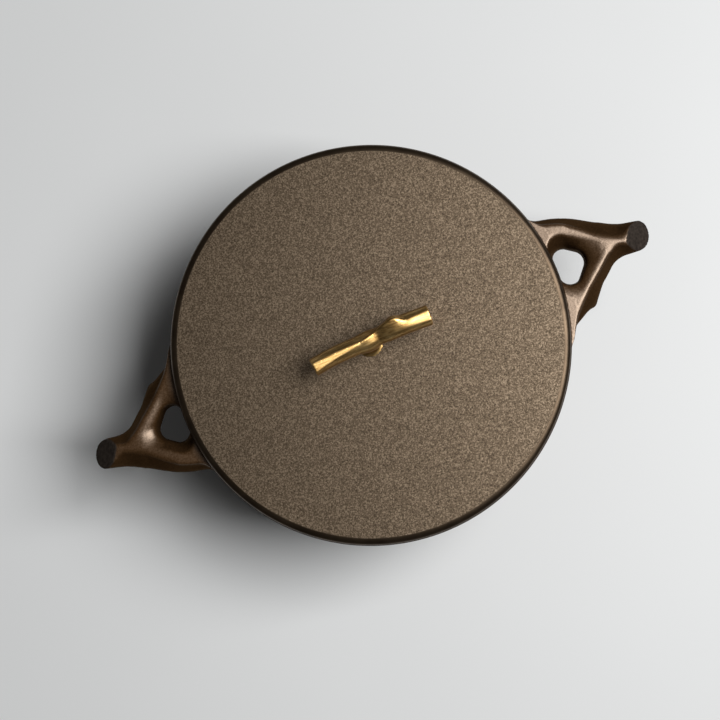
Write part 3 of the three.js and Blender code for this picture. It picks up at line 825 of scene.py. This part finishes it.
def lid_iron():
    """Sand-cast iron with a coarse bright grain and a smooth rubbed edge."""
    made, tree, shader = material("lid_iron")
    place = object_place(tree)
    sand = noise(tree, place, SAND_GRAIN, detail=3, roughness=0.65)
    edge = stored(tree, "edge")
    smooth_edge = ramp(tree, noise(tree, place, EDGE_CLOUD, detail=3), SMOOTH_EDGE)
    sandy = spread(tree, sand, *SAND_ROUGHNESS)
    feed(tree, shader, {
        "Base Color": blend_color(tree, edge, ramp(tree, sand, SAND), smooth_edge),
        "Metallic": 0.85,
        "Roughness": blend_value(tree, edge, sandy, SMOOTH_EDGE_ROUGHNESS),
        "Normal": bump(tree, sand, strength=blend_value(tree, edge, 0.45, 0.08), depth=0.2),
    })
    return made


def brass():
    """Cast brass, polished along the twig and darker in the streaks that were left."""
    made, tree, shader = material("brass")
    streak = noise(tree, object_place(tree, (0.12, 1, 1)), BRASS_STREAK, detail=3, roughness=0.6)
    cloud = noise(tree, object_place(tree), BRASS_CLOUD, detail=3)
    tone = calculate(tree, "ADD", streak, spread(tree, cloud, -BRASS_CLOUDING, BRASS_CLOUDING))
    feed(tree, shader, {
        "Base Color": ramp(tree, tone, BRASS),
        "Metallic": 1.0,
        "Roughness": spread(tree, streak, *BRASS_ROUGHNESS),
        "Coat Weight": 0.8,
        "Coat Roughness": 0.32,
        "Normal": bump(tree, streak, strength=0.2, depth=0.08),
    })
    return made


def steel():
    """Turned stainless steel."""
    made, tree, shader = material("steel")
    lines = noise(tree, object_place(tree, (1, 1, 6)), STEEL_LINES, detail=2)
    feed(tree, shader, {
        "Base Color": ramp(tree, lines, STEEL),
        "Metallic": 1.0,
        "Roughness": spread(tree, lines, *STEEL_ROUGHNESS),
        "Normal": bump(tree, lines, strength=0.15, depth=0.05),
    })
    return made


def floor_paint():
    """Plain pale paint, very slightly clouded."""
    made, tree, shader = material("floor_paint")
    cloud = noise(tree, object_place(tree), FLOOR_CLOUD, detail=3)
    feed(tree, shader, {"Base Color": ramp(tree, cloud, FLOOR), "Roughness": 0.5})
    return made


def place_piece(obj, look, body, node):
    """Dresses a piece, and lets it stand for a node of the frame and ride on its body."""
    obj.data.materials.append(look)
    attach(obj, body)
    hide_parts(node)


def studio_floor():
    """A plain square floor round the pot's base."""
    r = FLOOR_REACH
    floor = mesh_object("floor", [(-r, -r, 0), (r, -r, 0), (r, r, 0), (-r, r, 0)], [(0, 1, 2, 3)])
    floor.data.materials.append(floor_paint())


def aim_from(obj, place, target, up):
    """Puts a camera or lamp at a place, looking at a target."""
    back = Vector(place - target).normalized()
    side = Vector(up).cross(back).normalized()
    turn = Matrix((side, back.cross(side), back)).transposed().to_4x4()
    obj.matrix_world = Matrix.Translation(Vector(place) * MM) @ turn
    bpy.context.scene.collection.objects.link(obj)


def camera_and_lamp():
    """The camera above the pot and the soft lamp, both placed by the picture's right and up."""
    right = np.array([math.cos(HANDLE_TURN), -math.sin(HANDLE_TURN), 0])
    up = np.array([math.sin(HANDLE_TURN), math.cos(HANDLE_TURN), 0])
    scale = RIM_RADIUS / RIM_PIXEL_RADIUS
    middle = IMAGE_SIZE / 2
    target = POT_HEIGHT * UP + scale * ((middle - RIM_PIXEL[0]) * right + (RIM_PIXEL[1] - middle) * up)
    place = target + CAMERA_RISE * (UP + math.tan(CAMERA_RIGHT) * right - math.tan(CAMERA_DOWN) * up)
    camera = bpy.data.cameras.new("camera")
    camera.lens = camera.sensor_width * np.linalg.norm(place - target) / (IMAGE_SIZE * scale)
    view = bpy.data.objects.new("camera", camera)
    aim_from(view, place, target, up)
    bpy.context.scene.camera = view

    lamp = bpy.data.lights.new("softbox", "AREA")
    lamp.energy = LAMP_WATTS
    lamp.size = LAMP_SIZE * MM
    lamp_place = LAMP_PLACE[0] * right + LAMP_PLACE[1] * up + LAMP_PLACE[2] * UP
    aim_from(bpy.data.objects.new("softbox", lamp), lamp_place, POT_HEIGHT * UP, up)


def studio_world():
    """Soft light from all round, brighter above than at the horizon."""
    world = bpy.data.worlds.new("studio")
    world.use_nodes = True
    tree = world.node_tree
    place = add(tree, "TexCoord", {}).outputs["Generated"]
    height = add(tree, "SeparateXYZ", {0: place}).outputs["Z"]
    feed(tree, tree.nodes["Background"], {"Color": ramp(tree, height, SKY, low=0, high=1)})
    bpy.context.scene.world = world


place_piece(pot_body(), pot_iron(), "pot", "pot_body")
place_piece(lid_plate(), lid_iron(), "lid", "lid")
place_piece(twig_handle(), brass(), "lid", "lid_handle")
hardware = steel()
for name in ("lid_handle_screw", "lock_washer", "flat_washer"):
    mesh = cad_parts[name].data
    mesh.materials.clear()
    mesh.materials.append(hardware)

studio_floor()
camera_and_lamp()
studio_world()
bpy.context.scene.view_settings.view_transform = "Standard"
